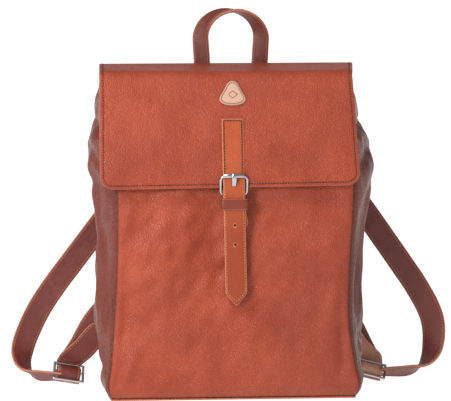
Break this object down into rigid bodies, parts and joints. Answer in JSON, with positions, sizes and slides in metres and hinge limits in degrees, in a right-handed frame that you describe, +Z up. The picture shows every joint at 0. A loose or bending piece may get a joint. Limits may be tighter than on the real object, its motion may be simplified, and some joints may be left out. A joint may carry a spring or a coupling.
{
  "type": "backpack",
  "caption": "Flap-top leather backpack with buckle-front closure strap, carrying handle and adjustable shoulder straps.",
  "frame": {"origin": "centre of the flat base, on the surface the bag stands on", "axes": "+Z up, front with the flap and buckle faces -Y, +X towards the viewer's right"},
  "size_m": [0.5099, 0.1492, 0.4356],
  "materials": {
    "leather_main": "soft semi-matte cognac leather",
    "leather_strap": "smooth semi-matte strap leather",
    "leather_dark": "smooth dark cognac leather",
    "leather_natural": "pale vegetable-tanned leather",
    "chrome_wire": "polished",
    "steel_snap": "satin",
    "lining_cloth": "matte woven cotton",
    "board": "matte",
    "foam": "matte foam"
  },
  "bodies": {
    "bag": {"front_panel": "leather_main", "left_gusset": "leather_main", "right_gusset": "leather_main", "back_panel": "leather_main", "base_panel": "leather_main", "base_board": "board", "lining": "lining_cloth", "mouth_facing": "leather_dark", "back_padding": "foam", "back_yoke": "leather_main", "handle_ends": "leather_strap", "snap_socket": "steel_snap", "snap_washer": "steel_snap", "left_strap_upper": "leather_dark", "right_strap_upper": "leather_dark", "left_anchor_patch": "leather_dark", "right_anchor_patch": "leather_dark"},
    "flap_top": {"flap_top": "leather_main", "flap_top_lining": "lining_cloth"},
    "flap_front": {"flap_front": "leather_main", "flap_front_lining": "lining_cloth", "badge": "leather_natural", "closure_strap_upper": "leather_strap"},
    "closure": {"closure_strap": "leather_strap", "buckle_tab": "leather_strap", "keeper": "leather_dark", "snap_stud": "steel_snap"},
    "buckle": {"buckle_frame": "chrome_wire"},
    "prong": {"buckle_prong": "chrome_wire"},
    "handle": {"handle": "leather_strap"},
    "left_strap": {"left_shoulder_strap": "leather_dark", "left_strap_tail": "leather_strap", "left_slide": "chrome_wire", "left_anchor_strap": "leather_dark"},
    "right_strap": {"right_shoulder_strap": "leather_dark", "right_strap_tail": "leather_strap", "right_slide": "chrome_wire", "right_anchor_strap": "leather_dark"}
  },
  "joints": [
    {"name": "flap_lift", "type": "hinge", "parent": "bag", "child": "flap_top", "pos_m": [0, 0.054, 0.372], "axis": [-1, 0, 0], "range_deg": [0, 82]},
    {"name": "flap_fold", "type": "hinge", "parent": "flap_top", "child": "flap_front", "pos_m": [0, -0.052, 0.37], "axis": [-1, 0, 0], "range_deg": [0, 85]},
    {"name": "closure_lift", "type": "hinge", "parent": "flap_front", "child": "closure", "pos_m": [0, -0.066, 0.264], "axis": [-1, 0, 0], "range_deg": [0, 60]},
    {"name": "buckle_tilt", "type": "hinge", "parent": "closure", "child": "buckle", "pos_m": [0, -0.0666, 0.236], "axis": [1, 0, 0], "range_deg": [0, 8]},
    {"name": "prong_lift", "type": "hinge", "parent": "buckle", "child": "prong", "pos_m": [0, -0.0666, 0.236], "axis": [1, 0, 0], "range_deg": [0, 6]},
    {"name": "handle_swing", "type": "hinge", "parent": "bag", "child": "handle", "pos_m": [0, 0.061, 0.366], "axis": [-1, 0, 0], "range_deg": [0, 90]},
    {"name": "left_strap_swing", "type": "hinge", "parent": "bag", "child": "left_strap", "pos_m": [-0.118, 0.06, 0.15], "axis": [0, 0, -1], "range_deg": [0, 90]},
    {"name": "right_strap_swing", "type": "hinge", "parent": "bag", "child": "right_strap", "pos_m": [0.118, 0.06, 0.15], "axis": [0, 0, 1], "range_deg": [0, 90]}
  ]
}
